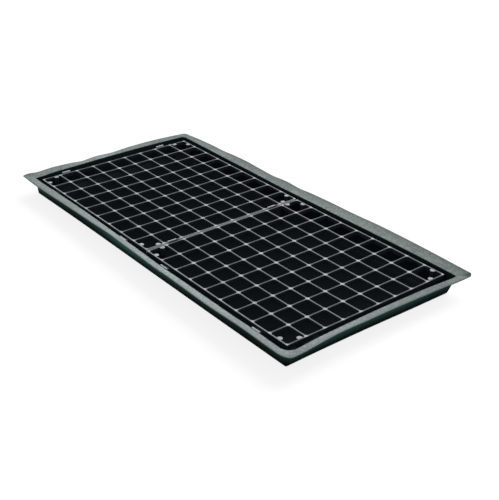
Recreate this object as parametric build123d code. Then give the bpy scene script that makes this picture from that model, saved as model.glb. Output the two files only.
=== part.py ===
"""Humidity tray: a shallow formed plastic tray with two lift-out grid panels.

The tray holds water or pebbles. Two grid panels of the same mould stand in it on short legs,
a little below the inner edge of its rim, and hook into each other along the seam between them.
Units are millimetres. The origin is the middle of the tray's resting face, X runs along the
tray, Y across it and Z up.
"""
import os
from math import cos, radians, tan

from build123d import *

# Grid panel: a moulding of crossing ribs, a little longer along the tray than across it
cells = 9                  # openings along each side
pitch_along = 28.4         # from rib to rib along the tray
pitch_across = 26.4        # from rib to rib across the tray
rib_width = 1.9            # at the top
rib_depth = 5.5
rib_draft = 1.5            # degrees, each side of a rib
node_web = 1.6             # leg of the web that fills each inner corner of a cell

# Legs: half-round posts under and inside the outer ribs, two in each corner cell
leg_radius = 4.2
leg_draft = 1.0            # degrees
leg_from_corner_on_ends = 19.1    # along the two ribs that run across the tray
leg_from_corner_on_sides = 14.2   # along the two ribs that run lengthwise

# Hooks: two bars beyond each of two outer ribs, carried on low arms
hook_cell = 2              # counted from each corner
bar_length = 12.6
bar_width = 2.0
arm_width = 8.0
arm_depth = 2.2

# Gaps and clearances between the pieces
seam_gap = 2.3             # between the outer ribs of the two panels
bar_clearance = 0.3        # between a bar and the neighbour's rib that it holds
arm_clearance = 0.4        # round an arm in the notch of the neighbour's rib
foot_clearance = 0.3       # under the legs
end_clearance = 2.2        # between the bars and the tray's end wall
front_clearance = 0.3      # between the bars and the tray's front wall
back_gap = 5.8             # between the panels and the tray's rear wall
panel_recess = 2.3         # of the panels' top below the inner edge of the rim

# Tray: a formed sheet with sloping walls and a flared rim, wider along the sides
lip_height = 23.0          # from the resting face to the inner edge of the rim
sheet = 1.2
wall_draft = 10.0          # degrees
base_radius = 2.4          # outside, where a wall turns into the floor
corner_radius = 3.0        # between two walls, at the floor
opening_radius = 7.0       # between two walls, at the rim
lip_radius = 1.4           # where a wall turns over into the rim
end_reach = 10.7           # level distance from the opening to the rim's outer edge, at the ends
side_reach = 12.9          # the same along the sides
rim_rise = 4.0             # height of the rim's outer edge above its inner edge
rim_radius = 6.0           # outer corners of the rim

overrun = 1.0              # how far a cutting shape passes the face that it cuts

# Sizes that follow from the ones above
span_along = cells * pitch_along
span_across = cells * pitch_across
panel_length = span_along + rib_width
panel_width = span_across + rib_width
bar_offset = seam_gap + rib_width + bar_clearance
hook_reach = bar_offset + bar_width
panel_top = lip_height - panel_recess
rib_floor = panel_top - rib_depth
draft_run = tan(radians(wall_draft))
wall_width = sheet / cos(radians(wall_draft))
hook_gap = hook_reach + (lip_height - rib_floor) * draft_run
front_gap = hook_gap + front_clearance
opening_length = seam_gap + 2 * (panel_length + hook_gap + end_clearance)
opening_width = front_gap + panel_width + back_gap
panel_shift_x = (seam_gap + panel_length) / 2
panel_shift_y = (front_gap - back_gap) / 2


def outline(growth, height, radius):
    """The opening's outline grown by a distance all round, lying at a height."""
    grown_length = opening_length + 2 * growth
    grown_width = opening_width + 2 * growth
    return Pos(0, 0, height) * RectangleRounded(grown_length, grown_width, radius)


def basin(growth, low, high, low_radius, high_radius, turn_radius):
    """A solid with sloping sides, grown from the tray's inner wall and rounded at its foot."""
    low_outline = outline(growth - (lip_height - low) * draft_run, low, low_radius)
    high_outline = outline(growth - (lip_height - high) * draft_run, high, high_radius)
    block = loft([low_outline, high_outline], ruled=True)
    foot = block.edges().group_by(Axis.Z)[0]
    return fillet(foot, turn_radius)


def rim_section(share, drop):
    """The rim's outline at a share of its way out from the opening, lowered by a drop."""
    length = opening_length + 2 * end_reach * share
    width = opening_width + 2 * side_reach * share
    radius = opening_radius + (rim_radius - opening_radius) * share
    return Pos(0, 0, lip_height + rim_rise * share - drop) * RectangleRounded(length, width, radius)


def make_tray():
    """The formed tray: floor, four sloping walls and a rim that flares up and out."""
    shell = basin(wall_width, 0, lip_height, corner_radius, opening_radius, base_radius)
    flare = loft([rim_section(0, sheet), rim_section(1, sheet)], ruled=True)
    flare += extrude(rim_section(1, sheet), amount=sheet)
    hollow = basin(0, sheet, lip_height, corner_radius, opening_radius, base_radius - sheet)
    outside_share = 1 + overrun / end_reach
    funnel = loft([rim_section(0, 0), rim_section(outside_share, 0)], ruled=True)
    tray = shell + flare - hollow - funnel
    lip = [edge for edge in tray.edges() if is_lip(edge)]
    return fillet(lip, lip_radius)


def is_lip(edge):
    """Whether an edge lies on the opening, at the height of the rim's inner edge."""
    box = edge.bounding_box()
    tolerance = sheet / 10
    level = abs(box.min.Z - lip_height) < tolerance and abs(box.max.Z - lip_height) < tolerance
    within_length = box.max.X <= opening_length / 2 + tolerance
    within_width = box.max.Y <= opening_width / 2 + tolerance
    return level and within_length and within_width


def cell_opening():
    """The open space of one cell, wider towards the underside, with webbed corners."""
    def section(drop):
        growth = 2 * drop * tan(radians(rib_draft)) - rib_width
        cell = Rectangle(pitch_along + growth, pitch_across + growth)
        return Pos(0, 0, panel_top - drop) * chamfer(cell.vertices(), node_web)

    return loft([section(-overrun), section(rib_depth + overrun)], ruled=True)


def make_post():
    """A half-round post under the middle of an outer rib whose outer face lies at X = 0."""
    height = panel_top - sheet - foot_clearance
    top = Pos(rib_width / 2, 0, panel_top) * Circle(leg_radius)
    post = extrude(top, amount=height, dir=(0, 0, -1), taper=leg_draft)
    reach = leg_radius + rib_width / 2
    half = Box(reach, 2 * leg_radius, panel_top, align=(Align.MIN, Align.CENTER, Align.MIN))
    return post & half


def make_legs(grid):
    """The eight legs of a panel, each with a shoulder that carries the rib it stands under."""
    end_place = span_across / 2 - leg_from_corner_on_ends
    side_place = span_along / 2 - leg_from_corner_on_sides
    near_sides = side_places(end_place, side_place)
    places = near_sides + [Rot(0, 0, 180) * place for place in near_sides]
    return [place * make_post() - grid for place in places]


def side_places(end_place, side_place):
    """Two places on the outer face at -X and two on the one at -Y, turned so that outwards is -X."""
    return [Rot(0, 0, turn) * Pos(-half, place, 0)
            for turn, half, reach in ((0, panel_length / 2, end_place), (90, panel_width / 2, side_place))
            for place in (-reach, reach)]


def make_hook():
    """One bar and its arm, beyond the outer face of an outer rib at X = 0, towards -X."""
    low_corner = (Align.MAX, Align.CENTER, Align.MIN)
    bar = Pos(-bar_offset, 0, rib_floor) * Box(bar_width, bar_length, rib_depth, align=low_corner)
    arm_length = hook_reach + rib_width / 2
    arm = Pos(rib_width / 2, 0, rib_floor) * Box(arm_length, arm_width, arm_depth, align=low_corner)
    return bar + arm


def make_notch():
    """The space that an arm of the neighbouring panel takes under an outer rib at X = 0."""
    depth = arm_depth + arm_clearance
    width = arm_width + 2 * arm_clearance
    length = rib_width + 2 * overrun
    notch = Box(length, width, depth + overrun, align=(Align.CENTER, Align.CENTER, Align.MAX))
    return Pos(rib_width / 2, 0, rib_floor + depth) * notch


def make_grid():
    """One panel's grid about its own middle: ribs, hooks on two sides, notches on the others."""
    upright = (Align.CENTER, Align.CENTER, Align.MIN)
    slab = Pos(0, 0, rib_floor) * Box(panel_length, panel_width, rib_depth, align=upright)
    openings = GridLocations(pitch_along, pitch_across, cells, cells)
    grid = slab - [place * cell_opening() for place in openings]
    cells_in = hook_cell - 1 / 2
    places = side_places(span_across / 2 - cells_in * pitch_across, span_along / 2 - cells_in * pitch_along)
    hooks = [place * make_hook() for place in places]
    notches = [Rot(0, 0, 180) * place * make_notch() for place in places]
    return grid + hooks - notches


def main():
    """Write each piece to its own file."""
    os.makedirs("parts", exist_ok=True)
    export_step(make_tray(), "parts/tray.step")
    grid = make_grid()
    legs = make_legs(grid)
    for side, shift in (("left", -panel_shift_x), ("right", panel_shift_x)):
        place = Pos(shift, panel_shift_y, 0)
        export_step(place * grid, f"parts/grid_panel_{side}.step")
        export_step(Compound([place * leg for leg in legs]), f"parts/legs_{side}.step")


if __name__ == "__main__":
    main()
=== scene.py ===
"""Humidity tray: a formed plastic tray with two moulded grid panels that lift out of it.

Lengths in the classes are millimetres in the part's own frame: X runs along the tray, Y across it
and Z up from the resting face. They become metres when a mesh is made.
"""
import logging
from collections.abc import Callable
from dataclasses import dataclass, field
from enum import Enum
from math import cos, radians, sin, tan

import bmesh
import bpy
import numpy as np
from mathutils import Matrix, Vector


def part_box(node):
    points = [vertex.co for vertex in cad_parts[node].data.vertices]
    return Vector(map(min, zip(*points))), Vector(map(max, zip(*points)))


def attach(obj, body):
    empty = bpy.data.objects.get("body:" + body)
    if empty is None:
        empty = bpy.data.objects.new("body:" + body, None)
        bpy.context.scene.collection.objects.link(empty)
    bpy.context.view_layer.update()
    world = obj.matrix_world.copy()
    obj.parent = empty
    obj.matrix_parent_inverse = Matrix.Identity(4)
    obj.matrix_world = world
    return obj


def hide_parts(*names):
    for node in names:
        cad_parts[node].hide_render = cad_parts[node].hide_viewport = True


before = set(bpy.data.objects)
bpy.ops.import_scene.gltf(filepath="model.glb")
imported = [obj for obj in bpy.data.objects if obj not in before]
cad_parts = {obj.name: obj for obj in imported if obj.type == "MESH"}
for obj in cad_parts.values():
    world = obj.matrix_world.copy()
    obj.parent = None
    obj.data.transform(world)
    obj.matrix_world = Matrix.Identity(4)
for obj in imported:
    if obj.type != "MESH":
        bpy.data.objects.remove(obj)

MM = 0.001
WELD = 0.002        # distance within which points become one, in mm
SQUARE_ON = 0.9     # cosine above which a face counts as turned a given way
OFF_AXIS = 1e-6     # a turn, in radians, that puts a place on an axis in one quarter only
WHITE = (1.0, 1.0, 1.0, 1.0)
log = logging.getLogger("humidity_tray")

Colour = tuple[float, float, float]
Span = tuple[float, float]
Socket = bpy.types.NodeSocket


class Side(Enum):
    """The two grid panels, by the end of the tray that they stand at."""

    LEFT = "left"
    RIGHT = "right"

    @property
    def body(self) -> str:
        """Name of the body that the panel is."""
        return f"{self.value}_panel"

    @property
    def nodes(self) -> tuple[str, str]:
        """Names of the panel's solids: its grid and its legs."""
        return f"grid_panel_{self.value}", f"legs_{self.value}"

    @property
    def inwards(self) -> float:
        """Direction of the other panel along X."""
        return 1.0 if self is Side.LEFT else -1.0


class Facing(Enum):
    """Outward direction of one of a panel's four outer ribs, as quarter turns from +X."""

    PLUS_X = 0
    PLUS_Y = 1
    MINUS_X = 2
    MINUS_Y = 3


@dataclass(frozen=True)
class Swell:
    """One gentle swell along an edge: its middle, how far it runs and how much it adds."""

    place: float
    spread: float
    amount: float


@dataclass(frozen=True)
class Bend:
    """One place where a panel has bent: its middle, how far it runs and how far it has moved."""

    place: Span
    spread: Span
    move: tuple[float, float, float]


@dataclass(frozen=True)
class Warp:
    """How a panel has come out: how much higher its top lies all over, and where it has bent."""

    level: float
    bends: tuple[Bend, ...]


WARPS = {
    Side.LEFT: Warp(0.7, (Bend((5.0, 5.0), (100.0, 85.0), (0.0, 0.0, -1.1)),
                          Bend((0.0, -115.0), (220.0, 50.0), (0.0, 0.7, 0.2)))),
    Side.RIGHT: Warp(0.35, (Bend((-5.0, 0.0), (80.0, 85.0), (0.0, 0.0, -1.2)),
                            Bend((60.0, 125.0), (90.0, 38.0), (0.0, 0.6, 1.3)),
                            Bend((140.0, 40.0), (45.0, 130.0), (0.0, 1.1, 0.5)),
                            Bend((0.0, -120.0), (200.0, 35.0), (0.0, 0.4, 0.0)))),
}


def swells(along: np.ndarray, parts: tuple[Swell, ...], level: float = 0.0) -> np.ndarray:
    """Add gentle swells along an edge.

    Formula: the level, plus for each swell its amount times the bell curve, e to the power of
    minus the square of the distance from its middle over its spread.

    Args:
        along: Places along the edge, in mm.
        parts: The swells.
        level: What the edge has between them.

    Returns:
        The sum at each place.
    """
    total = np.full_like(along, level)
    for part in parts:
        total = total + part.amount * np.exp(-(((along - part.place) / part.spread) ** 2))
    return total


def smooth_step(value: np.ndarray, low: float, high: float) -> np.ndarray:
    """Ease from 0 at low to 1 at high: with t the share of the way, t squared times 3 less 2 t."""
    share = np.clip((value - low) / (high - low), 0.0, 1.0)
    return share * share * (3.0 - 2.0 * share)


def between(first: float, second: float, share: np.ndarray) -> np.ndarray:
    """Places at shares of the way from one value to another: the first plus share times the gap."""
    return first + (second - first) * share


def fan(angle: np.ndarray) -> np.ndarray:
    """Directions at angles from +X: the cosine and the sine of each, as rows."""
    return np.stack([np.cos(angle), np.sin(angle)], axis=1)


def arc(centre: Span, radius: float, start: float, end: float,
        steps: int) -> tuple[np.ndarray, np.ndarray]:
    """Points of a rounding in a section.

    Formula: at angle a, the centre plus the radius times the cosine and the sine of a.

    Args:
        centre: Its growth and its height.
        radius: Its radius.
        start: Its first angle.
        end: Its last angle.
        steps: How many points it has.

    Returns:
        Growth and height of each point.
    """
    growth, height = (centre + radius * fan(np.linspace(start, end, steps))).T
    return growth, height


def quarter_turn(turns: int) -> np.ndarray:
    """Matrix that turns places about Z by quarter turns: the cosines and sines of that angle."""
    angle = turns * np.pi / 2
    return np.array([[cos(angle), -sin(angle)], [sin(angle), cos(angle)]])


def round_four(*parts: np.ndarray) -> np.ndarray:
    """Carry one quarter of a ring round, each of four copies turned by a quarter more.

    Args:
        *parts: The quarter's places or directions, in stretches.

    Returns:
        The whole ring.
    """
    quarter = np.concatenate(parts)
    return np.concatenate([quarter @ quarter_turn(turn).T for turn in range(4)])


def at_heights(plan: np.ndarray, heights: np.ndarray) -> np.ndarray:
    """Set flat rings at their heights, which become every point's third coordinate.

    Args:
        plan: Rings by points by 2.
        heights: One height a ring.

    Returns:
        Rings by points by 3.
    """
    level = np.broadcast_to(heights[:, None, None], (*plan.shape[:2], 1))
    return np.concatenate([plan, level], axis=2)


@dataclass(frozen=True)
class TraySide:
    """How one side of the tray has come out, against a straight one.

    Args:
        rise: Height of the rim's outer edge above the lip, in mm.
        lift: Swells of that height.
        widen: Swells of the rim's reach outwards.
        bow: Swells of the wall outwards, at the lip.
        foot: Swells of the wall outwards, at the floor.
        tone: Swells of the strength of the rim's painted sheen, against 1.
        sheen: Swells of the painted sheen on the outer wall, against 1.
        fade: Share of painted shade by which the rim is darker at its outer edge than at the lip.
    """

    rise: float
    lift: tuple[Swell, ...] = ()
    widen: tuple[Swell, ...] = ()
    bow: tuple[Swell, ...] = ()
    foot: tuple[Swell, ...] = ()
    tone: tuple[Swell, ...] = ()
    sheen: tuple[Swell, ...] = ()
    fade: float = 0.0

    def rise_at(self, along: np.ndarray) -> np.ndarray:
        """Height of the rim's outer edge at places along the side: its rise plus the swells."""
        return swells(along, self.lift, self.rise)

    def sheen_at(self, along: np.ndarray) -> np.ndarray:
        """Strength of the outer wall's painted sheen at places along the side: 1 plus the swells.
        """
        return swells(along, self.sheen, 1.0)

    def tone_at(self, along: np.ndarray, share: np.ndarray) -> np.ndarray:
        """Strength of the rim's painted sheen: 1 plus the swells, times 1 less the painted shade's
        share of the way out.
        """
        return swells(along, self.tone, 1.0) * (1 - self.fade * share)

    def outwards_at(self, along: np.ndarray, share: np.ndarray, base: np.ndarray) -> np.ndarray:
        """How far the side has moved outwards.

        Formula: the foot's swells times what is left of the wall's height, plus the bow's times
        the height, plus the rim's widening times its share.

        Args:
            along: Places along the side.
            share: Their share of the rim.
            base: Their height over the lip's height.

        Returns:
            The distance at each place.
        """
        return (swells(along, self.foot) * (1 - base) + swells(along, self.bow) * base
                + swells(along, self.widen) * share)


@dataclass(frozen=True)
class Corners:
    """Radius of each of the tray's four corners, seen from above with +Y at the back."""

    back_right: float
    back_left: float
    front_left: float
    front_right: float

    def array(self) -> np.ndarray:
        """The radii in the order in which the outline passes the corners."""
        return np.array([self.back_right, self.back_left, self.front_left, self.front_right])


@dataclass
class Shell:
    """A surface gathered before it becomes a mesh.

    Args:
        points: Corner points in mm, one row each.
        faces: Point numbers of each face.
        marks: Named values with one number a point, which the finish reads.
    """

    points: np.ndarray
    faces: list[list[int]]
    marks: dict[str, np.ndarray]

    @staticmethod
    def of_rings(rings: np.ndarray, marks: dict[str, np.ndarray], caps: bool = False) -> "Shell":
        """Join closed rings of points into a surface.

        Formula: point j of ring k is number k times the ring's length plus j, and each face takes
        points j and j + 1, counted round the ring, of two rings that follow each other.

        Args:
            rings: Points as an array of rings by points by 3.
            marks: Values of the same shape without the 3.
            caps: Whether one face closes the first ring and one the last.

        Returns:
            The surface.
        """
        count, around = rings.shape[:2]
        number = np.arange(count * around).reshape(count, around)
        ahead = np.roll(number, -1, axis=1)
        quads = np.stack([number[:-1], ahead[:-1], ahead[1:], number[1:]], axis=-1)
        faces = quads.reshape(-1, 4).tolist()
        if caps:
            faces += [number[0].tolist(), number[-1].tolist()]
        flat = {name: values.reshape(-1) for name, values in marks.items()}
        return Shell(rings.reshape(-1, 3), faces, flat)

    @staticmethod
    def joined(shells: list["Shell"]) -> "Shell":
        """Put several surfaces with the same marks into one.

        Args:
            shells: The surfaces.

        Returns:
            One surface with all their faces.
        """
        faces: list[list[int]] = []
        start = 0
        for shell in shells:
            faces += [[corner + start for corner in face] for face in shell.faces]
            start += len(shell.points)
        points = np.concatenate([shell.points for shell in shells])
        names = shells[0].marks
        marks = {name: np.concatenate([shell.marks[name] for shell in shells]) for name in names}
        return Shell(points, faces, marks)

    def moved(self, x: float, y: float) -> "Shell":
        """The same surface, shifted."""
        return Shell(self.points + np.array([x, y, 0.0]), self.faces, self.marks)

    def turned(self, facing: Facing) -> "Shell":
        """The same surface, turned about Z by the facing's quarter turns from +X."""
        plan = self.points[:, :2] @ quarter_turn(facing.value).T
        return Shell(np.column_stack([plan, self.points[:, 2]]), self.faces, self.marks)

    def to_object(self, name: str, crease: float = 40.0) -> bpy.types.Object:
        """Make a Blender object at the origin, its seams welded and its faces outwards.

        Args:
            name: Name of the piece.
            crease: Angle between faces, in degrees, above which an edge stays sharp.

        Returns:
            The object, linked to the scene.
        """
        mesh = bpy.data.meshes.new(name)
        mesh.from_pydata((self.points * MM).tolist(), [], self.faces)
        for mark, values in self.marks.items():
            layer = mesh.attributes.new(mark, "FLOAT", "POINT")
            layer.data.foreach_set("value", values.astype(np.float32))
        weld = bmesh.new()
        weld.from_mesh(mesh)
        bmesh.ops.remove_doubles(weld, verts=weld.verts, dist=WELD * MM)
        bmesh.ops.recalc_face_normals(weld, faces=weld.faces)
        weld.to_mesh(mesh)
        weld.free()
        mesh.polygons.foreach_set("use_smooth", np.ones(len(mesh.polygons), dtype=bool))
        mesh.set_sharp_from_angle(angle=radians(crease))
        mesh.update()
        return new_object(name, mesh)


def new_object(name: str, data: bpy.types.ID) -> bpy.types.Object:
    """Make an object of a mesh, a lamp or a camera and link it to the scene.

    Args:
        name: Its name.
        data: What it shows.

    Returns:
        The object.
    """
    made = bpy.data.objects.new(name, data)
    bpy.context.scene.collection.objects.link(made)
    return made


class NodeBoard:
    """A node tree with short calls that add nodes and link them."""

    def __init__(self, tree: bpy.types.NodeTree) -> None:
        """Take a tree and empty it."""
        self.tree = tree
        tree.nodes.clear()

    def add(self, kind: str, inputs: dict[str | int, object] | None = None,
            **settings: object) -> bpy.types.Node:
        """Add a node.

        Args:
            kind: Its Blender type, such as ShaderNodeMath.
            inputs: What its inputs hold: an output is linked, anything else is set.
            **settings: Its properties, by name.

        Returns:
            The node.
        """
        node = self.tree.nodes.new(kind)
        for name, value in settings.items():
            setattr(node, name, value)
        for name, value in (inputs or {}).items():
            if isinstance(value, Socket):
                self.tree.links.new(value, node.inputs[name])
            else:
                node.inputs[name].default_value = value
        return node

    def mark(self, name: str) -> Socket:
        """Read one of a mesh's marks."""
        return self.add("ShaderNodeAttribute", attribute_name=name).outputs["Fac"]

    def noise(self, place: Socket, scale: float, detail: float = 2.0, rough: float = 0.5) -> Socket:
        """Add a noise pattern.

        Args:
            place: Coordinates that it reads.
            scale: Swings to the metre.
            detail: Finer layers added.
            rough: How strong these are.

        Returns:
            Its value, about 0.5 in the middle.
        """
        inputs = {"Vector": place, "Scale": scale, "Detail": detail, "Roughness": rough}
        return self.add("ShaderNodeTexNoise", inputs).outputs["Fac"]

    def spread(self, value: Socket, source: Span, result: Span, eased: bool = False) -> Socket:
        """Map a value from one range onto another, and hold it there.

        Args:
            value: What is mapped.
            source: Its range, from start to end.
            result: What the start and the end become.
            eased: Whether it eases in and out.

        Returns:
            The mapped value.
        """
        inputs = {"From Min": source[0], "From Max": source[1], "To Min": result[0],
                  "To Max": result[1], "Value": value}
        kind = "SMOOTHSTEP" if eased else "LINEAR"
        return self.add("ShaderNodeMapRange", inputs, interpolation_type=kind).outputs["Result"]

    def blend(self, share: Socket, first: Colour | Socket, second: Colour | Socket) -> Socket:
        """Mix two colours.

        Args:
            share: How much of the second one shows.
            first: A colour, or an output that gives one.
            second: The same.

        Returns:
            The mixed colour.
        """
        ends = [end if isinstance(end, Socket) else (*end, 1.0) for end in (first, second)]
        inputs = {0: share, 6: ends[0], 7: ends[1]}
        return self.add("ShaderNodeMix", inputs, data_type="RGBA").outputs[2]

    def fold(self, operation: str, values: list[Socket]) -> Socket:
        """Bring several values down to one, two at a time.

        Args:
            operation: What is done with two of them, such as ADD or MAXIMUM.
            values: The values.

        Returns:
            The result.
        """
        total = values[0]
        for value in values[1:]:
            node = self.add("ShaderNodeMath", {0: total, 1: value}, operation=operation)
            total = node.outputs[0]
        return total

    def scaled(self, colour: Socket, factor: Socket) -> Socket:
        """Make a colour lighter or darker by a factor."""
        inputs = {0: colour, "Scale": factor}
        return self.add("ShaderNodeVectorMath", inputs, operation="SCALE").outputs["Vector"]


@dataclass(frozen=True)
class Plastic:
    """What every plastic here has: a shader with a roughness, a dull gloss and a fine grain.

    Args:
        name: Name of the finish.
        roughness: Roughness in the middle of its spread.
        roughness_spread: How far the grain moves it either way.
        gloss: Specular level of the shader, 0.5 for bare plastic.
        grain_scale: Swings of the grain to the metre.
        grain_depth: Height of the grain in mm.
        grain_strength: Share of that height that the bump takes.
        grain_detail: Finer layers of the grain.
        grain_layers: How strong these are.
        grain_swing: Range of the grain's value that the roughness follows.
    """

    name: str
    roughness: float
    roughness_spread: float
    gloss: float
    grain_scale: float
    grain_depth: float
    grain_strength: float
    grain_detail: float = 3.0
    grain_layers: float = 0.6
    grain_swing: Span = (0.3, 0.7)

    def paint(self, board: NodeBoard, place: Socket, grain: Socket) -> Socket:
        """Colour of the surface; each plastic gives its own."""
        raise NotImplementedError

    def material(self) -> bpy.types.Material:
        """Build the material: its paint, its roughness and its bump all follow one grain.

        Returns:
            The material.
        """
        material = bpy.data.materials.new(self.name)
        material.use_nodes = True
        board = NodeBoard(material.node_tree)
        place = board.add("ShaderNodeTexCoord").outputs["Object"]
        grain = board.noise(place, self.grain_scale, self.grain_detail, self.grain_layers)
        limits = (self.roughness - self.roughness_spread, self.roughness + self.roughness_spread)
        bump = board.add("ShaderNodeBump", {
            "Strength": self.grain_strength, "Distance": self.grain_depth * MM, "Height": grain})
        shader = board.add("ShaderNodeBsdfPrincipled", {
            "Specular IOR Level": self.gloss, "Base Color": self.paint(board, place, grain),
            "Roughness": board.spread(grain, self.grain_swing, limits),
            "Normal": bump.outputs["Normal"]})
        board.add("ShaderNodeOutputMaterial", {"Surface": shader.outputs["BSDF"]})
        return material


@dataclass(frozen=True)
class TraySheetPlastic(Plastic):
    """The formed sheet, with a fine grain: a painted grey-green sheen on the rim, dark green
    outside with a painted sheen, and near black inside with painted fill light where shade falls.

    The spans are ranges of a pattern's value, or places in mm, over which a colour changes, and
    the shares say how much of it a pattern takes.
    """

    name: str = "tray_sheet_plastic"
    roughness: float = 0.62
    roughness_spread: float = 0.1
    gloss: float = 0.008
    grain_scale: float = 400.0
    grain_depth: float = 0.35
    grain_strength: float = 0.5
    # Painted sheen: the rim's grey-green stands in for light off the dark plastic; the grain mixes
    # these two tones.
    rim_sheen_light: Colour = (0.37, 0.414, 0.403)
    rim_sheen_dark: Colour = (0.182, 0.218, 0.21)
    # Painted shade towards the rim's rounded outer edge.
    rim_edge_shade: Colour = (0.2, 0.238, 0.23)
    # Painted sheen on the upper outer wall; the outer wall is darker towards the floor.
    outside_sheen: Colour = (0.036, 0.1, 0.09)
    outside_low: Colour = (0.0018, 0.0032, 0.003)
    inside_high: Colour = (0.013, 0.022, 0.022)
    # Painted fill light: the inner wall is lighter at its foot to lift the shade that falls there.
    inside_low_fill_light: Colour = (0.017, 0.026, 0.03)
    inside_floor: Colour = (0.0042, 0.0072, 0.0095)
    # Painted fill light on the floor at the back, where the back wall's shadow falls.
    inside_back_fill_light: Colour = (0.018, 0.031, 0.038)
    grain_span: Span = (0.38, 0.62)
    grain_share: float = 0.6
    mottle_scale: float = 230.0
    mottle_span: Span = (0.38, 0.62)
    mottle_share: float = 0.25
    patch_scale: float = 34.0
    patch_span: Span = (0.36, 0.64)
    patch_share: float = 0.15
    # The edge span and share below place the painted shade along the rim's outer edge.
    edge_span: Span = (0.62, 1.0)
    edge_shade_share: float = 0.7
    wall_span: Span = (2.0, 14.0)
    # Places across the tray, in mm, over which the floor's painted fill light comes in.
    back_fill_span: Span = (100.0, 118.0)

    def paint(self, board: NodeBoard, place: Socket, grain: Socket) -> Socket:
        """Blend the zones of the sheet by the marks on its mesh.

        Formula: the rim's painted sheen is a mix of a light and a dark tone by the grain, a coarser
        mottle and broad patches, with painted shade along its outer edge, and times the mark tone,
        which sets the painted sheen's strength. Both walls change towards the floor: outside, a
        painted sheen that is darker towards the floor, times the mark sheen; inside, painted fill
        light at the foot. The floor has painted fill light at the back, where the back wall's
        shadow falls.
        Inside and outside are told apart by the mark outside, and the rim by the mark rim.

        Args:
            board: The node tree.
            place: Object coordinates.
            grain: The fine grain.

        Returns:
            The colour.
        """
        mottle = board.noise(place, self.mottle_scale)
        patches = board.noise(place, self.patch_scale)
        share = board.fold("ADD", [board.spread(grain, self.grain_span, (0.0, self.grain_share)),
                                   board.spread(mottle, self.mottle_span, (0.0, self.mottle_share)),
                                   board.spread(patches, self.patch_span, (0.0, self.patch_share))])
        # Painted sheen on the rim, mixed by the grain, the mottle and the patches.
        rim = board.blend(share, self.rim_sheen_dark, self.rim_sheen_light)
        # Painted shade along the rim's outer edge, by the mark across.
        edge = board.spread(board.mark("across"), self.edge_span, (0.0, self.edge_shade_share), True)
        # The mark tone scales the rim's painted sheen along each side.
        rim = board.scaled(board.blend(edge, rim, self.rim_edge_shade), board.mark("tone"))
        axes = board.add("ShaderNodeSeparateXYZ", {0: place}).outputs
        fade, back = (board.spread(axes[axis], (span[0] * MM, span[1] * MM), (0.0, 1.0), eased=True)
                      for axis, span in (("Z", self.wall_span), ("Y", self.back_fill_span)))
        # Outer wall: painted sheen that is darker towards the floor, scaled below by the mark
        # sheen.
        outer = board.blend(fade, self.outside_low, self.outside_sheen)
        # Inner wall: painted fill light at its foot.
        wall = board.blend(fade, self.inside_low_fill_light, self.inside_high)
        # Floor: painted fill light at the back, in the back wall's shadow.
        floor = board.blend(back, self.inside_floor, self.inside_back_fill_light)
        inner = board.blend(board.mark("floor"), wall, floor)
        body = board.blend(board.mark("outside"), inner, board.scaled(outer, board.mark("sheen")))
        return board.blend(board.mark("rim"), body, rim)


@dataclass(frozen=True)
class PanelPlastic(Plastic):
    """The moulded grid, near black plastic: a painted light grey highlight on the ribs' tops, where
    they catch the light, and near black below.
    """

    name: str = "grid_panel_plastic"
    roughness: float = 0.55
    roughness_spread: float = 0.08
    gloss: float = 0.02
    grain_scale: float = 900.0
    grain_depth: float = 0.12
    grain_strength: float = 0.3
    # Painted highlights on the ribs' tops, standing in for light off the dark plastic: lengthwise,
    # across and at crossings.
    rib_along_highlight: Colour = (0.262, 0.278, 0.283)
    rib_across_highlight: Colour = (0.168, 0.18, 0.184)
    # Painted highlight at the crossings, the brightest tone of the tops.
    node: Colour = (0.72, 0.743, 0.75)
    below: Colour = (0.028, 0.04, 0.048)
    patch_scale: float = 60.0
    patch_span: Span = (0.34, 0.66)
    patch_share: float = 0.3

    def paint(self, board: NodeBoard, place: Socket, grain: Socket) -> Socket:
        """Blend the painted highlight on the tops of the ribs into their dark sides by the marks on
        the mesh.

        Formula: a rib's top has one painted highlight lengthwise and one across, by the mark
        lengthwise, and turns to the brighter painted highlight of a crossing by the mark node.
        Broad patches draw it towards the highlight across. The mark top tells the painted tops from
        what lies below.

        Args:
            board: The node tree.
            place: Object coordinates.
            grain: The fine grain, which this paint does not use.

        Returns:
            The colour.
        """
        # Painted highlight on the tops: lengthwise, across and at the crossings.
        ribs = board.blend(board.mark("lengthwise"), self.rib_across_highlight, self.rib_along_highlight)
        top = board.blend(board.mark("node"), ribs, self.node)
        patches = board.spread(board.noise(place, self.patch_scale), self.patch_span,
                               (0.0, self.patch_share))
        top = board.blend(patches, top, self.rib_across_highlight)
        return board.blend(board.mark("top"), self.below, top)


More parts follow.
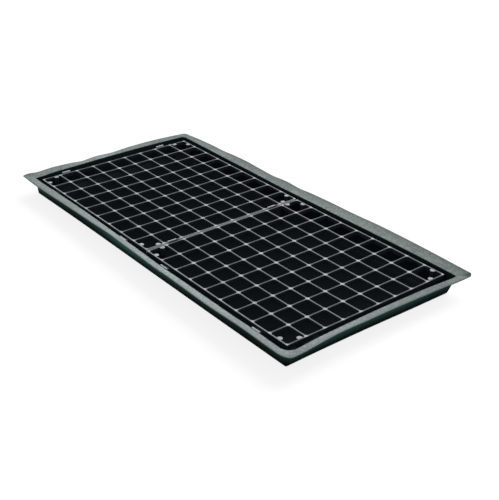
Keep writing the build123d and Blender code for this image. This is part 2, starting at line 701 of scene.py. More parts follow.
@dataclass
class TraySheet:
    """The formed tray: floor, four sloping walls and a flared rim that has warped a little.

    A profile runs from the middle of the floor inside, over the rim, to the middle of the floor
    underneath. Each of its points is carried round the rounded rectangle of the opening. The
    fields named steps count the points of one stretch. The lip span and the edge span are the
    shares of those two roundings over which the rim's painted sheen starts and ends, and the floor
    blend is the share of the way in over which the floor's colour starts.
    """

    lip_height: float = 23.0
    sheet: float = 1.2
    wall_draft: float = 10.0
    base_radius: float = 2.4
    floor_corners: Corners = Corners(3.0, 3.0, 3.0, 0.8)
    opening_corners: Corners = Corners(3.0, 6.0, 3.0, 12.0)
    rim_corners: Corners = Corners(1.6, 8.0, 2.0, 11.5)
    least_corner: float = 0.8
    corner_ease: int = 8
    lip_radius: float = 1.4
    under_radius: float = 1.0
    end_reach: float = 10.7
    side_reach: float = 12.9
    mean_rise: float = 3.0
    long_steps: int = 120
    short_steps: int = 60
    corner_steps: int = 10
    floor_shares: tuple[float, ...] = (0.0, 0.35, 0.65, 0.85, 0.95)
    floor_blend: float = 0.1
    foot_steps: int = 6
    wall_steps: int = 9
    lip_steps: int = 9
    flare_steps: int = 9
    edge_steps: int = 7
    flare_under_steps: int = 6
    under_steps: int = 5
    base_steps: int = 7
    lip_span: Span = (0.25, 0.9)
    edge_span: Span = (0.2, 0.8)
    back: TraySide = TraySide(
        rise=3.8,
        lift=(Swell(-262.0, 70.0, -3.6), Swell(-88.0, 34.0, -1.0), Swell(0.0, 60.0, 0.7),
              Swell(150.0, 80.0, 1.0), Swell(-272.0, 14.0, -1.4), Swell(-185.0, 20.0, -1.0),
              Swell(-71.0, 15.0, -0.8), Swell(-14.0, 14.0, -1.2)),
        widen=(Swell(180.0, 130.0, 2.1), Swell(-128.0, 14.0, 0.6), Swell(-43.0, 12.0, 0.6),
               Swell(48.0, 24.0, 0.8), Swell(128.0, 22.0, 0.6)),
        bow=(Swell(-235.0, 50.0, 0.6), Swell(-40.0, 50.0, -0.9), Swell(190.0, 120.0, 2.6)),
        tone=(Swell(-262.0, 40.0, -0.15), Swell(70.0, 150.0, 0.32), Swell(-170.0, 70.0, 0.13)),
        fade=0.24)
    front: TraySide = TraySide(
        rise=3.8,
        lift=(Swell(-205.0, 95.0, -2.3), Swell(-57.0, 26.0, 1.0), Swell(142.0, 34.0, -1.0)),
        widen=(Swell(-10.0, 80.0, -1.3), Swell(150.0, 110.0, -0.9)),
        bow=(Swell(-150.0, 120.0, -3.1), Swell(-280.0, 25.0, -1.4), Swell(200.0, 170.0, 1.3),
             Swell(44.0, 26.0, 0.7), Swell(215.0, 24.0, -0.7)),
        foot=(Swell(-150.0, 120.0, -0.9), Swell(200.0, 150.0, 0.4)),
        tone=(Swell(70.0, 190.0, 0.32),),
        sheen=(Swell(-265.0, 28.0, 0.4), Swell(-165.0, 55.0, -0.35), Swell(-38.0, 42.0, 0.95),
               Swell(195.0, 110.0, -0.58)))
    left: TraySide = TraySide(
        rise=1.1,
        lift=(Swell(-100.0, 36.0, 2.0), Swell(-130.0, 10.0, 2.0), Swell(-42.0, 12.0, -1.6),
              Swell(8.0, 18.0, -1.4), Swell(75.0, 26.0, 0.5), Swell(135.0, 18.0, -1.0)),
        widen=(Swell(-138.0, 22.0, 1.1),),
        bow=(Swell(25.0, 55.0, 1.2), Swell(60.0, 75.0, 2.0), Swell(-25.0, 30.0, 0.8),
             Swell(-122.0, 22.0, -3.4), Swell(122.0, 22.0, -0.5)),
        tone=(Swell(-18.0, 30.0, 0.2), Swell(118.0, 40.0, -0.14)))
    right: TraySide = TraySide(
        rise=1.1,
        lift=(Swell(-58.0, 30.0, 1.4), Swell(95.0, 40.0, -0.9)),
        widen=(Swell(143.0, 9.0, 0.5), Swell(108.0, 22.0, -0.8)),
        bow=(Swell(0.0, 70.0, -1.6), Swell(-122.0, 26.0, 2.4), Swell(125.0, 28.0, 2.5)),
        foot=(Swell(-70.0, 75.0, -1.6), Swell(5.0, 50.0, -0.8)),
        tone=(Swell(-70.0, 75.0, 0.2), Swell(100.0, 50.0, -0.12)),
        sheen=(Swell(-140.0, 24.0, -0.55), Swell(135.0, 50.0, -0.6)))
    opening_length: float = field(init=False)
    opening_width: float = field(init=False)

    def __post_init__(self) -> None:
        """Take the opening's size from the solid's box, less the rim."""
        low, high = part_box("tray")
        self.opening_length = (high.x - low.x) / MM - 2 * self.end_reach
        self.opening_width = (high.y - low.y) / MM - 2 * self.side_reach

    def wall(self, height: np.ndarray | float) -> np.ndarray | float:
        """Growth of the inner wall at a height: minus the depth below the lip times the slope."""
        return (height - self.lip_height) * tan(radians(self.wall_draft))

    def profile(self) -> dict[str, np.ndarray]:
        """Points of the section through a wall, in order from inside to outside.

        Formula: growth is the level distance out from the opening's outline. The roundings touch
        the wall and the rim, so their centres lie a radius off both. The share runs from 0 at the
        lip to 1 at the rim's outer edge, and stretches the rim to each side's own reach.

        Returns:
            Arrays growth, height, share, fill (how much of the ring is left towards the middle),
            offset (how far the corners lie outside those of the opening), rim, across and
            outside, one value a point.
        """
        draft = radians(self.wall_draft)
        reach = (self.end_reach + self.side_reach) / 2
        slope = self.mean_rise / reach
        tilt = np.arctan(slope)
        rows: list[np.ndarray] = []

        def put(growth: np.ndarray, height: np.ndarray, share: float | np.ndarray = 0.0,
                fill: float | np.ndarray = 1.0, rim: float | np.ndarray = 0.0,
                outside: float = 0.0, offset: float | None = None) -> None:
            """Add a stretch of the section.

            Args:
                growth: How far out its points lie.
                height: How high they lie.
                share: Their share of the rim.
                fill: How much of the ring is left there.
                rim: How much of the rim's painted sheen they have.
                outside: 1 on the outside.
                offset: Offset of the corners, or that from the wall when it is left out.
            """
            beyond = growth - self.wall(height) if offset is None else offset
            stretch = np.broadcast_arrays(growth, height, share, fill, beyond, rim, outside)
            rows.append(np.stack(stretch))

        foot = self.base_radius - self.sheet
        foot_level = self.sheet + foot
        foot_centre = self.wall(foot_level) - foot / cos(draft)
        fill = np.array(self.floor_shares)
        put(np.full(len(fill), foot_centre), np.full(len(fill), self.sheet), fill=fill)
        put(*arc((foot_centre, foot_level), foot, -np.pi / 2, -draft, self.foot_steps))

        lip = self.lip_radius
        lean = 1 - tan(draft) * slope
        lip_level = self.lip_height - lip * (1 / np.cos(tilt) - slope / cos(draft)) / lean
        lip_centre = self.wall(lip_level) + lip / cos(draft)
        wall_low = foot_level - foot * sin(draft)
        heights = np.linspace(wall_low, lip_level + lip * sin(draft), self.wall_steps)[1:-1]
        put(self.wall(heights), heights)
        lip_growth, lip_heights = arc((lip_centre, lip_level), lip, np.pi - draft,
                                      np.pi / 2 + tilt, self.lip_steps)
        put(lip_growth, lip_heights,
            rim=smooth_step(np.linspace(0, 1, self.lip_steps), *self.lip_span))

        start_growth, start_height = lip_growth[-1], lip_heights[-1]
        round_edge = self.sheet / 2
        edge_growth = reach - round_edge
        edge_top = start_height + slope * (reach - start_growth)
        share = np.linspace(0, 1, self.flare_steps)[1:-1]
        put(between(start_growth, edge_growth, share), between(start_height, edge_top, share),
            share=share, rim=1.0, offset=start_growth)
        edge = arc((edge_growth, edge_top - round_edge), round_edge, np.pi / 2 + tilt,
                   -np.pi / 2 + tilt, self.edge_steps)
        put(*edge, share=1.0, outside=1.0, offset=start_growth,
            rim=smooth_step(np.linspace(1, 0, self.edge_steps), *self.edge_span))

        under = self.under_radius
        wall_width = self.sheet / cos(draft)
        under_rise = slope * (wall_width + under / cos(draft)) - (self.sheet + under) / np.cos(tilt)
        under_level = self.lip_height + under_rise / lean
        under_centre = self.wall(under_level) + wall_width + under / cos(draft)
        under_growth, under_heights = arc((under_centre, under_level), under, np.pi / 2 + tilt,
                                          np.pi - draft, self.under_steps)
        share = np.linspace(1, 0, self.flare_under_steps)[1:-1]
        put(between(under_growth[0], edge[0][-1], share),
            between(under_heights[0], edge[1][-1], share), share=share, outside=1.0,
            offset=under_growth[0])
        put(under_growth, under_heights, outside=1.0)

        base = self.base_radius
        base_centre = self.wall(base) + wall_width - base / cos(draft)
        heights = np.linspace(under_heights[-1], base - base * sin(draft), self.wall_steps)[1:-1]
        put(self.wall(heights) + wall_width, heights, outside=1.0)
        put(*arc((base_centre, base), base, -draft, -np.pi / 2, self.base_steps), outside=1.0)
        put(np.full(len(fill), base_centre), np.zeros(len(fill)), fill=fill[::-1], outside=1.0)

        growth, height, share, fill, offset, rim, outside = np.concatenate(rows, axis=1)
        return {"growth": growth, "height": height, "share": share, "fill": fill,
                "offset": offset, "rim": rim, "across": share * rim, "outside": outside}

    def outline(self) -> tuple[np.ndarray, np.ndarray, np.ndarray]:
        """Places round the opening, apart from its size.

        Formula: the centre of a rounded corner stays at (1, 1), and between two corners it runs
        evenly from one to the other. The normal is the direction outwards, which turns through a
        quarter circle at each corner. A place belongs wholly to a corner on its arc, and between
        two corners to each by how near it is.

        Returns:
            Centres and normals, each as points by 2, and shares of the four corners, points by 4.
        """
        corner = np.ones((self.corner_steps, 2))
        corner_fan = fan(np.linspace(0, np.pi / 2, self.corner_steps + 1)[:-1])
        centres, normals, belonging = [], [], []
        for turn, steps in enumerate((self.short_steps, self.long_steps) * 2):
            spin = quarter_turn(turn).T
            run = np.linspace(-1, 1, steps + 1)[:-1]
            straight = np.stack([np.ones(steps), run], axis=1)
            centres += [straight @ spin, corner @ spin]
            normals += [np.tile([1.0, 0.0], (steps, 1)) @ spin, corner_fan @ spin]
            nearness = np.zeros((steps + self.corner_steps, 4))
            nearness[:steps, turn - 1] = (1 - run) / 2
            nearness[:steps, turn] = (1 + run) / 2
            nearness[steps:, turn] = 1.0
            belonging.append(nearness)
        return np.concatenate(centres), np.concatenate(normals), np.concatenate(belonging)

    def shell(self) -> Shell:
        """Carry the profile round the opening and warp it.

        Formula: a point lies at its centre times the ring's half size less its corner radius, plus
        the normal times that radius. Each side then moves outwards by its own swells, which ease
        off away from it, and the rim rises by its share times its side's height. Round a corner
        the two sides that meet there are mixed by the squares of the normal's parts.

        Returns:
            The surface with its marks.
        """
        section = {name: values[:, None] for name, values in self.profile().items()}
        centre, normal, belonging = self.outline()
        share, height, fill = section["share"], section["height"], section["fill"]
        base = np.clip(height / self.lip_height, 0, 1)
        low, high, rim = (belonging @ corners.array() for corners in
                          (self.floor_corners, self.opening_corners, self.rim_corners))
        corner = (low + (high - low) * base + section["offset"]) * (1 - share) + rim * share
        corner = np.maximum(corner, self.least_corner)[..., None]
        reach = np.array([self.end_reach, self.side_reach])
        opening = np.array([self.opening_length, self.opening_width])
        grow = section["growth"] + share * (reach - reach.mean())
        half = opening / 2 + grow[:, None] - corner
        plan = (centre * half + normal * corner) * fill[..., None]
        lean = np.sign(centre) * np.abs(centre) ** self.corner_ease

        def by_side(trait: Callable[[TraySide, np.ndarray], np.ndarray]) -> np.ndarray:
            """Read a trait of the sides.

            Args:
                trait: Gives it for a side and places along that side.

            Returns:
                For each point, that of the end and that of the long side it belongs to.
            """
            pairs = ((self.right, self.left, plan[..., 1]), (self.back, self.front, plan[..., 0]))
            return np.stack([np.where(lean[:, axis] > 0, trait(plus, along), trait(minus, along))
                             for axis, (plus, minus, along) in enumerate(pairs)], axis=-1)

        def mixed(trait: Callable[[TraySide, np.ndarray], np.ndarray]) -> np.ndarray:
            """Mix a trait of the two sides by the squares of the normal's parts."""
            return (by_side(trait) * normal ** 2).sum(axis=-1)

        outwards = lean * by_side(lambda side, along: side.outwards_at(along, share, base))
        level = height + share * (mixed(TraySide.rise_at) - self.mean_rise)
        points = np.concatenate([plan + outwards * fill[..., None], level[..., None]], axis=-1)
        whole = np.ones(len(centre))
        marks = {name: section[name] * whole for name in ("rim", "across", "outside")}
        # Mark tone: strength of the rim's painted sheen, with its painted shade towards the outer
        # edge.
        marks["tone"] = mixed(lambda side, along: side.tone_at(along, share))
        # Mark sheen: strength of the outer wall's painted sheen.
        marks["sheen"] = mixed(TraySide.sheen_at)
        marks["floor"] = np.clip((1.0 - fill) / self.floor_blend, 0.0, 1.0) * whole
        return Shell.of_rings(points, marks)

    def build(self, finish: bpy.types.Material) -> bpy.types.Object:
        """Make the tray and set it on its body.

        Args:
            finish: What it is made of.

        Returns:
            The piece.
        """
        piece = self.shell().to_object("tray_sheet")
        piece.data.materials.append(finish)
        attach(piece, "tray")
        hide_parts("tray")
        return piece


@dataclass
class GridPanel:
    """One moulded panel: crossing ribs with rounded tops, bars on low arms, and half-round legs.

    The fields named light and marks are strengths of the mesh's marks, from 0 for dark to 1 for the
    full painted highlight that stands in for light on the tops, and those named steps count the
    points of a rounding. Hook shade is the distance from a hook's middle within which the seam gets
    no painted light and stays dark, and sunk keeps faces apart that would otherwise lie in one
    plane.
    """

    side: Side
    cells: int = 9
    pitch_along: float = 28.4
    pitch_across: float = 26.4
    rib_width: float = 1.9
    rib_draft: float = 1.5
    edge: float = 0.3
    edge_steps: int = 4
    cell_corner: float = 2.3
    border_shares: tuple[float, ...] = (1.0, 0.5, 0.0, 0.0, 0.0)
    crossing_marks: tuple[float, ...] = (0.15, 0.6, 1.0, 0.6, 0.15)
    leg_radius: float = 3.2
    leg_inset: float = 2.4
    leg_draft: float = 1.0
    leg_steps: int = 23
    leg_light: float = 0.68
    front_light: float = 0.42
    seam_depth: float = 2.0
    seam_light: float = 1.0
    seam_top_light: float = 0.15
    hook_shade: float = 7.5
    leg_from_corner_on_ends: float = 19.1
    leg_from_corner_on_sides: float = 14.2
    foot_level: float = 1.5
    hook_cell: int = 2
    bar_length: float = 12.6
    bar_width: float = 2.0
    bar_corner: float = 0.5
    bar_drop: float = 0.3
    bar_light: float = 1.0
    bar_offset: float = 4.5
    arm_width: float = 8.0
    arm_depth: float = 2.2
    arm_corner: float = 0.4
    arm_light: float = 0.3
    block_steps: int = 24
    notch_width: float = 8.8
    notch_depth: float = 2.6
    notch_slope: float = 0.3
    notch_slack: float = 0.03
    sunk: float = 0.03
    middle_x: float = field(init=False)
    middle_y: float = field(init=False)
    top: float = field(init=False)
    rib_floor: float = field(init=False)

    def __post_init__(self) -> None:
        """Take the panel's place from its solid's box, whose far faces are its outer ribs."""
        low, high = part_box(self.side.nodes[0])
        self.middle_x = high.x / MM - (self.span_along + self.rib_width) / 2
        self.middle_y = high.y / MM - (self.span_across + self.rib_width) / 2
        self.top = high.z / MM
        self.rib_floor = low.z / MM

    @property
    def span_along(self) -> float:
        """Distance between the middles of the outer ribs along the tray."""
        return self.cells * self.pitch_along

    @property
    def span_across(self) -> float:
        """The same across the tray."""
        return self.cells * self.pitch_across

    @property
    def corner_run(self) -> float:
        """How far the rounding of a cell's corner runs, from the middle of a rib."""
        return self.rib_width / 2 + self.cell_corner

    @property
    def notch_stops(self) -> np.ndarray:
        """Places along a rib where a notch starts and ends, with the slope on either side."""
        half = self.notch_width / 2
        return np.array([-half - self.notch_slope, -half, half, half + self.notch_slope])

    @property
    def cell_places(self) -> np.ndarray:
        """Middles of the cells from the panel's middle, counted in cells."""
        return np.arange(self.cells) - (self.cells - 1) / 2

    def rib(self, facing: Facing) -> tuple[float, float, float]:
        """Sizes of an outer rib.

        Args:
            facing: The way that it faces.

        Returns:
            Its cells' pitch, its span and how far out its middle lies.
        """
        if facing in (Facing.PLUS_X, Facing.MINUS_X):
            return self.pitch_across, self.span_across, self.span_along / 2
        return self.pitch_along, self.span_along, self.span_across / 2

    def hook_places(self, facing: Facing) -> tuple[float, np.ndarray]:
        """Where the hooks or notches of an outer rib are.

        Formula: the middle of the hook's cell lies half a pitch less than its count of pitches in
        from the end of the span, on both sides.

        Args:
            facing: The way that the rib faces.

        Returns:
            How far out its outer face lies, and the places along it.
        """
        pitch, span, out = self.rib(facing)
        along = span / 2 - (self.hook_cell - 0.5) * pitch
        return out + self.rib_width / 2, np.array([-along, along])

    def rounding(self) -> tuple[np.ndarray, np.ndarray, np.ndarray]:
        """Steps over a rounded top edge.

        Formula: at angle a the surface has still e times (1 - sin a) to go outwards, has dropped
        e times (1 - cos a), and its top mark, the share of the painted highlight, is the cosine of
        a.

        Returns:
            Distance to go, drop and top mark.
        """
        angle = np.linspace(0, np.pi / 2, self.edge_steps)
        return self.edge * (1 - np.sin(angle)), self.edge * (1 - np.cos(angle)), np.cos(angle)

    def marks(self, top: np.ndarray, node: np.ndarray,
              lengthwise: np.ndarray) -> dict[str, np.ndarray]:
        """Give every point of a set of rings its marks.

        Args:
            top: One value a ring, 1 on the tops, which carry the painted highlight.
            node: One value a place round the ring, 1 at a crossing, where the painted highlight is
                brightest.
            lengthwise: One value a place, 1 on a rib that runs along the tray, whose painted
                highlight is lighter.

        Returns:
            The marks top, node and lengthwise, as rings by places.
        """
        return {"top": np.repeat(top[:, None], len(node), axis=1),
                "node": np.repeat(node[None], len(top), axis=0),
                "lengthwise": np.repeat(lengthwise[None], len(top), axis=0)}

    def tiles(self) -> Shell:
        """The ribs round every cell, as one tile a cell.

        Formula: a ring round a cell has the corner arcs of a rounded rectangle and four places on
        each side, where a notch can start and end. Rings follow each other from the tile's border
        over the rounded edge and down the sloping side to the border of the underside.

        Returns:
            All tiles in place.
        """
        steps, stops = len(self.crossing_marks), self.notch_stops
        flat = np.tile([1.0, 0.0], (len(stops), 1))
        run = np.stack([np.zeros(len(stops)), stops], axis=1)
        step = self.corner_run * np.array(self.border_shares)
        back = np.stack([-step[::-1], -step], axis=1)
        sign = round_four(flat, np.ones((steps, 2)))
        normal = round_four(flat, fan(np.linspace(0, np.pi / 2, steps)))
        offset = round_four(run, np.zeros((steps, 2)))
        border = round_four(run, back)
        # Crossing marks: how far the painted highlight brightens towards a crossing.
        crossing = np.tile(np.concatenate([np.zeros(len(stops)), self.crossing_marks]), 4)
        pitch = np.array([self.pitch_along, self.pitch_across])
        depth = self.top - self.rib_floor
        to_go, drop, mark = self.rounding()
        grow = np.append(to_go, depth * tan(radians(self.rib_draft)))[:, None, None]
        radius = self.cell_corner + grow
        half = (pitch - self.rib_width) / 2 + grow
        opening = sign * (half - radius) + normal * radius + offset
        edge_ring = (sign * pitch / 2 + border)[None]
        plan = np.concatenate([edge_ring, opening, edge_ring])
        heights = self.top - np.concatenate([[0.0], drop, [depth, depth]])
        marks = np.concatenate([[1.0], mark, [0.0, 0.0]])
        one = Shell.of_rings(at_heights(plan, heights),
                             self.marks(marks, crossing, normal[:, 1] ** 2))
        return Shell.joined([one.moved(column * self.pitch_along, row * self.pitch_across)
                             for column in self.cell_places for row in self.cell_places])

    def outer_faces(self) -> Shell:
        """The outer half of the four outer ribs.

        Formula: a ring round the panel follows the middle of the outer ribs through the tiles' own
        border places, and each point moves out along its normal. At a corner several points share
        one place and their normals fan out over a quarter turn, which rounds the corner. The
        face in the seam is painted as light as the rib's top, a painted light for the light that
        the two panels throw on each other there, except where a hook fills the seam.

        Returns:
            The surface with its marks.
        """
        steps, marks, run = len(self.crossing_marks), self.crossing_marks, self.corner_run
        cell_marks = np.concatenate([marks[2:], np.zeros(len(self.notch_stops)), marks[:2]])
        corner_fan = fan(np.linspace(0, np.pi / 2, steps))
        middle, normal, crossing = [], [], []
        for facing in Facing:
            spin = quarter_turn(facing.value).T
            pitch, span, out = self.rib(facing)
            half = pitch / 2
            within = np.array([-half, -half + run / 2, -half + run, *self.notch_stops,
                               half - run, half - run / 2])
            along = (self.cell_places[:, None] * pitch + within).reshape(-1)[1:]
            straight = np.stack([np.full(len(along), out), along], axis=1)
            corner = np.tile([out, span / 2], (steps, 1))
            middle += [straight @ spin, corner @ spin]
            normal += [np.tile([1.0, 0.0], (len(along), 1)) @ spin, corner_fan @ spin]
            crossing += [np.tile(cell_marks, self.cells)[1:], np.ones(steps)]
        middle, normal, crossing = (np.concatenate(part) for part in (middle, normal, crossing))
        hooks = self.hook_places(Facing.PLUS_X)[1]
        beside_hook = np.abs(middle[:, 1, None] - hooks).min(axis=1) > self.hook_shade
        at_seam = (normal[:, 0] * self.side.inwards > SQUARE_ON) & beside_hook
        at_front = normal[:, 1] < -SQUARE_ON
        # Painted highlight: the front outer rib's top gets at least the front light's share of a
        # crossing's tone.
        crossing = np.where(at_front, np.maximum(crossing, self.front_light), crossing)
        # Painted light on the seam's top edge, at least the seam top light's share.
        crossing = np.where(at_seam, np.maximum(crossing, self.seam_top_light), crossing)
        to_go, drop, mark = self.rounding()
        depth = self.top - self.rib_floor
        half_rib = self.rib_width / 2
        out = np.concatenate([[0.0], half_rib - to_go, [half_rib, half_rib, 0.0]])
        heights = self.top - np.concatenate([[0.0], drop, [self.seam_depth, depth, depth]])
        ring = at_heights(middle + normal * out[:, None, None], heights)
        tops = np.concatenate([[1.0], mark, [0.0, 0.0, 0.0]])
        given = self.marks(tops, crossing, normal[:, 1] ** 2)
        last = self.edge_steps
        # Painted light down the seam's face to the seam's depth, at a crossing's full tone.
        lit = given["top"][last - 1:last + 2, at_seam]
        given["top"][last - 1:last + 2, at_seam] = np.maximum(lit, self.seam_light)
        given["node"][last:last + 2, at_seam] = 1.0
        return Shell.of_rings(ring, given)

    def cut_notches(self, shell: Shell) -> None:
        """Raise the underside where the neighbour's arms pass.

        Formula: a point on the underside moves up by the notch's depth when it lies on one of the
        two outer ribs without bars, within half a notch of a notch's middle.

        Args:
            shell: The ribs, changed in place.
        """
        x, y, z = shell.points.T
        under = z < self.rib_floor + self.edge
        reach = self.notch_width / 2 + self.notch_slack
        for facing, level, along in ((Facing.PLUS_X, x, y), (Facing.PLUS_Y, y, x)):
            face, places = self.hook_places(facing)
            near = np.abs(along[:, None] - places).min(axis=1) < reach
            on_rib = level > face - 2 * self.rib_width
            shell.points[under & near & on_rib, 2] += self.notch_depth

    def block(self, size_x: float, size_y: float, low: float, high: float,
              corner: float) -> Shell:
        """A block with rounded corners and a rounded top edge, its far face at X = 0.

        Formula: rings of a rounded rectangle, the last of them drawn in over the edge's rounding.

        Args:
            size_x: Length towards -X.
            size_y: Width, half of it to each side of the X axis.
            low: Height of its underside.
            high: Height of its top.
            corner: Radius of its upright corners.

        Returns:
            The closed surface with its marks.
        """
        turn = np.linspace(0, 2 * np.pi, self.block_steps + 1)[:-1]
        sign = np.sign(fan(turn + OFF_AXIS))
        to_go, drop, mark = self.rounding()
        inset = np.append([0.0], to_go[::-1])
        half = np.array([size_x, size_y]) / 2
        plan = sign * (half - corner) + fan(turn) * (corner - inset)[:, None, None]
        ring = at_heights(plan, np.append([low], high - drop[::-1]))
        whole = np.ones(len(turn))
        marks = self.marks(np.append([0.0], mark[::-1]), whole, whole)
        return Shell.of_rings(ring, marks, caps=True).moved(-size_x / 2, 0.0)

    def hook(self) -> Shell:
        """One bar and its arm, beyond an outer face at X = 0, towards +X.

        Formula: the bar's sides carry a painted highlight above and are dark at their foot, and the
        arm's top has a dim share of the painted highlight.

        Returns:
            Both blocks.
        """
        high = self.top - self.bar_drop
        bar = self.block(self.bar_width, self.bar_length, self.rib_floor, high, self.bar_corner)
        upper = bar.points[:, 2] > self.rib_floor
        # Painted highlight on the bar's top and upper sides.
        bar.marks["top"] = np.where(upper, np.maximum(bar.marks["top"], self.bar_light), 0.0)
        length = self.bar_offset + (self.bar_width + self.rib_width) / 2
        low, level = self.rib_floor + self.sunk, self.rib_floor + self.arm_depth
        arm = self.block(length, self.arm_width, low, level, self.arm_corner)
        # The arm's top keeps only a dim share of the painted highlight.
        arm.marks["top"] = arm.marks["top"] * self.arm_light
        return Shell.joined([bar.moved(self.bar_offset + self.bar_width, 0.0),
                             arm.moved(self.bar_offset + self.bar_width / 2, 0.0)])

    def leg(self) -> Shell:
        """One leg behind an outer face at X = 0, towards -X, straight first and then half-round.

        Formula: the outline is a half circle whose centre lies inside the rib's middle, and two
        straight sides that run out from its ends to the outer face. Rings run from the foot, which
        the draft draws in, up to the rounded top edge.

        Returns:
            The closed surface with its marks.
        """
        to_go, drop, mark = self.rounding()
        top = self.top - self.sunk
        inset = np.append([(top - self.foot_level) * tan(radians(self.leg_draft))], to_go[::-1])
        radius = (self.leg_radius - inset)[:, None]
        face = (self.sunk + np.minimum(inset, self.edge))[:, None]
        angle = np.linspace(-np.pi / 2, np.pi / 2, self.leg_steps)
        centre = self.rib_width / 2 + self.leg_inset
        x = np.concatenate([face, centre + radius * np.cos(angle), face], axis=1)
        y = np.concatenate([-radius, radius * np.sin(angle), radius], axis=1)
        heights = np.append([self.foot_level], top - drop[::-1])
        around = x.shape[1]
        # The leg's top carries the painted highlight, at the leg light's share of a crossing's
        # tone.
        marks = self.marks(np.append([0.0], mark[::-1]), np.full(around, self.leg_light),
                           np.ones(around))
        return Shell.of_rings(at_heights(np.stack([-x, y], axis=2), heights), marks, caps=True)

    def bend(self, shell: Shell) -> None:
        """Let the panel's top bend a little, while its feet stay where they are.

        Formula: a point moves by the level, plus for each bend its move times the product of the
        two bell curves of the distances along and across, all times its height above the feet
        over the top's.

        Args:
            shell: The whole moulding about its middle, changed in place.
        """
        warp = WARPS[self.side]
        share = (shell.points[:, 2] - self.foot_level) / (self.top - self.foot_level)
        move = np.zeros_like(shell.points)
        move[:, 2] = warp.level
        for bend in warp.bends:
            far = (((shell.points[:, :2] - bend.place) / bend.spread) ** 2).sum(axis=1)
            move += np.exp(-far)[:, None] * np.array(bend.move)
        shell.points += share[:, None] * move

    def shell(self) -> Shell:
        """Put the ribs, hooks and legs together about the panel's middle.

        Returns:
            The whole moulding in its place.
        """
        ribs = Shell.joined([self.tiles(), self.outer_faces()])
        self.cut_notches(ribs)
        hook, leg, parts = self.hook(), self.leg(), [ribs]
        for facing in (Facing.MINUS_X, Facing.MINUS_Y):
            face, along = self.hook_places(facing)
            parts += [hook.moved(face, place).turned(facing) for place in along]
        on_ends = self.span_across / 2 - self.leg_from_corner_on_ends
        on_sides = self.span_along / 2 - self.leg_from_corner_on_sides
        for facing, reach in zip(Facing, (on_ends, on_sides) * 2):
            face = self.hook_places(facing)[0]
            parts += [leg.moved(face, place).turned(facing) for place in (-reach, reach)]
        whole = Shell.joined(parts)
        self.bend(whole)
        return whole.moved(self.middle_x, self.middle_y)

    def build(self, finish: bpy.types.Material) -> bpy.types.Object:
        """Make the panel and set it on its body.

        Args:
            finish: Material that both panels share.

        Returns:
            The piece.
        """
        piece = self.shell().to_object(f"grid_moulding_{self.side.value}")
        piece.data.materials.append(finish)
        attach(piece, self.side.body)
        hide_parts(*self.side.nodes)
        return piece


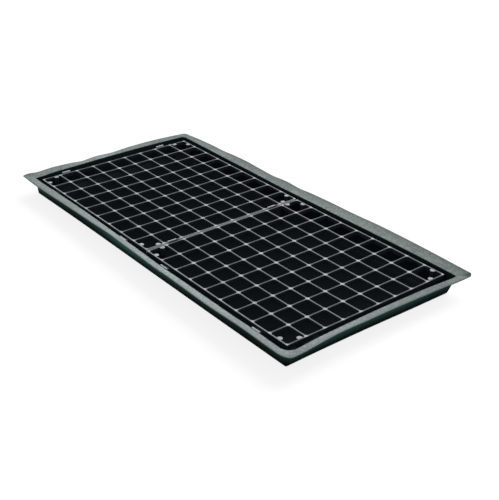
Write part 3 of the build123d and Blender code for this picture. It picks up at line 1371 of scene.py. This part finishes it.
@dataclass
class Studio:
    """Floor, light and camera: a plain pale surface, soft light from behind and an even sky.

    The floor tone is what the floor has for the light that it throws on the object. The shown tone
    and the glow are what it has when it is seen: the glow lifts it to white, with a faint shadow,
    and grows to 1 over the fade's distances from the middle.
    """

    floor_size: float = 12000.0
    floor_gap: float = 0.1
    floor_tone: float = 0.8
    shown_tone: float = 0.26
    floor_glow: float = 0.84
    floor_fade: Span = (600.0, 1600.0)
    sky: float = 0.32
    key_place: tuple[float, float, float] = (-900.0, 2300.0, 2300.0)
    key_size: float = 2400.0
    key_power: float = 98.0
    camera_place: tuple[float, float, float] = (890.4, -683.9, 585.7)
    camera_aim: tuple[float, float, float] = (43.6, 5.8, 0.0)
    camera_roll: float = 0.89
    camera_lens: float = 71.4
    camera_range: float = 100000.0

    @staticmethod
    def backdrop(board: NodeBoard, lighting: Socket, shown: Socket) -> Socket:
        """Choose between what lights the object and what is seen as background.

        Formula: the share of the second is 1 when any of three marks of a ray is, that is for
        rays from the camera, from a reflection and through glass.

        Args:
            board: The node tree.
            lighting: Shader for all other rays.
            shown: Shader for these.

        Returns:
            The shader that holds both.
        """
        path = board.add("ShaderNodeLightPath").outputs
        share = board.fold("MAXIMUM", [path[name] for name in (
            "Is Camera Ray", "Is Glossy Ray", "Is Transmission Ray")])
        return board.add("ShaderNodeMixShader", {0: share, 1: lighting, 2: shown}).outputs[0]

    def build_floor(self) -> bpy.types.Object:
        """Lay the floor, which lights the object as pale paper does and shows as white.

        Returns:
            The floor.
        """
        half = self.floor_size * MM / 2
        level = -self.floor_gap * MM
        mesh = bpy.data.meshes.new("floor")
        plan = ((-half, -half), (half, -half), (half, half), (-half, half))
        mesh.from_pydata([(x, y, level) for x, y in plan], [], [(0, 1, 2, 3)])
        floor = new_object("floor", mesh)
        material = bpy.data.materials.new("floor_paper")
        material.use_nodes = True
        board = NodeBoard(material.node_tree)
        paper, shown = (board.add("ShaderNodeBsdfDiffuse", {"Color": (tone, tone, tone, 1.0)})
                        for tone in (self.floor_tone, self.shown_tone))
        place = board.add("ShaderNodeTexCoord").outputs["Object"]
        distance = board.add("ShaderNodeVectorMath", {0: place}, operation="LENGTH")
        near, far = self.floor_fade
        strength = board.spread(distance.outputs["Value"], (near * MM, far * MM),
                                (self.floor_glow, 1.0), eased=True)
        glow = board.add("ShaderNodeEmission", {"Strength": strength})
        lifted = board.add("ShaderNodeAddShader", {0: shown.outputs[0], 1: glow.outputs[0]})
        surface = self.backdrop(board, paper.outputs[0], lifted.outputs[0])
        board.add("ShaderNodeOutputMaterial", {"Surface": surface})
        mesh.materials.append(material)
        return floor

    def build_light(self) -> None:
        """Hang one large soft lamp behind the tray and set an even sky that shows as white."""
        lamp = bpy.data.lights.new("key", "AREA")
        lamp.shape = "SQUARE"
        lamp.size = self.key_size * MM
        lamp.energy = self.key_power
        holder = new_object("key", lamp)
        holder.visible_camera = False
        place = Vector(self.key_place) * MM
        turn = (-place).to_track_quat("-Z", "Y").to_matrix().to_4x4()
        holder.matrix_world = Matrix.Translation(place) @ turn
        world = bpy.data.worlds.new("studio_sky")
        world.use_nodes = True
        bpy.context.scene.world = world
        board = NodeBoard(world.node_tree)
        light = board.add("ShaderNodeBackground", {"Color": WHITE, "Strength": self.sky})
        shown = board.add("ShaderNodeBackground", {"Color": WHITE})
        surface = self.backdrop(board, light.outputs[0], shown.outputs[0])
        board.add("ShaderNodeOutputWorld", {"Surface": surface})

    def build_camera(self) -> None:
        """Stand the camera where the photograph was taken.

        Formula: the view runs from its place to its aim. Right is level and square to it, and the
        roll turns right towards up.
        """
        place, aim = Vector(self.camera_place) * MM, Vector(self.camera_aim) * MM
        ahead = (aim - place).normalized()
        level = ahead.cross(Vector((0, 0, 1))).normalized()
        up = level.cross(ahead)
        roll = radians(self.camera_roll)
        right = level * cos(roll) + up * sin(roll)
        up = right.cross(ahead)
        lens = bpy.data.cameras.new("camera")
        lens.lens = self.camera_lens
        lens.clip_end = self.camera_range * MM
        camera = new_object("camera", lens)
        turn = Matrix((right, up, -ahead)).transposed().to_4x4()
        camera.matrix_world = Matrix.Translation(place) @ turn
        bpy.context.scene.camera = camera

    def build(self) -> None:
        """Set up the whole studio."""
        self.build_floor()
        self.build_light()
        self.build_camera()
        bpy.context.scene.view_settings.view_transform = "Standard"


def main() -> None:
    """Build the tray, the two panels and the studio, and report each piece."""
    logging.basicConfig(level=logging.INFO, format="%(name)s: %(message)s")
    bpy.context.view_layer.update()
    panel_finish = PanelPlastic().material()
    pieces = [TraySheet().build(TraySheetPlastic().material()),
              *(GridPanel(side).build(panel_finish) for side in Side)]
    for piece in pieces:
        log.info("%s has %d faces", piece.name, len(piece.data.polygons))
    Studio().build()


if __name__ == "__main__":
    main()
